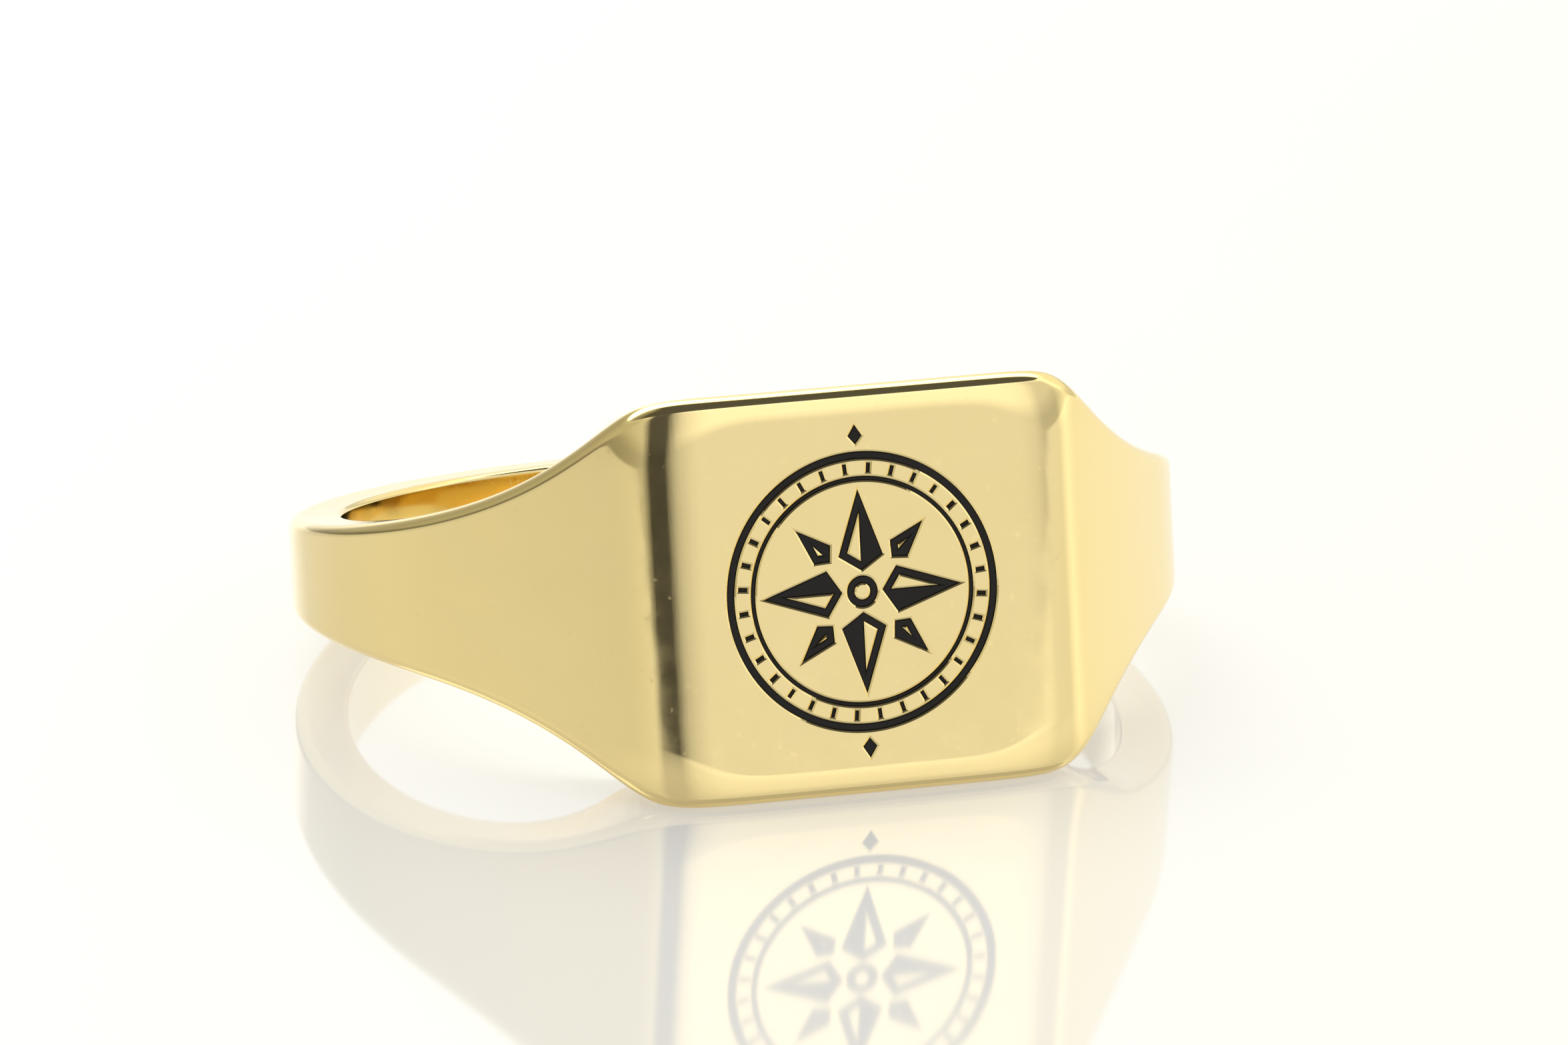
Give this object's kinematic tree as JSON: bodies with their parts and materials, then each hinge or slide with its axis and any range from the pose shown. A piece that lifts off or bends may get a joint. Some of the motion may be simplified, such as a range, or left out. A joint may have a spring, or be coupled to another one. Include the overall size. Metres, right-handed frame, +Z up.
{
  "type": "signet ring",
  "caption": "Signet ring: square flat table, tapered shoulders and slim band in polished yellow gold, with a compass rose in black enamel.",
  "frame": {"origin": "on the surface it lies on, under the middle of the ring's box", "axes": "+Z up, with the ring lying on its side; +Y from the table towards the back of the band; +X across the finger. The finger hole's axis leans 10.2 degrees from +Z towards +Y"},
  "size_m": [0.0196, 0.0204, 0.0087],
  "materials": {
    "gold": "14 ct yellow gold, mirror polished",
    "gold_solder": "hard gold solder, polished flush",
    "black_enamel": "gloss black enamel, just under the table"
  },
  "bodies": {
    "root": {"head": "gold", "shoulder_left": "gold", "shoulder_right": "gold", "shank": "gold", "solder_head_left": "gold_solder", "solder_head_right": "gold_solder", "solder_shank_left": "gold_solder", "solder_shank_right": "gold_solder", "enamel_outer_ring": "black_enamel", "enamel_inner_ring": "black_enamel", "enamel_ticks": "black_enamel", "enamel_long_points": "black_enamel", "enamel_short_points": "black_enamel", "enamel_hub": "black_enamel", "enamel_finials": "black_enamel"}
  },
  "joints": []
}
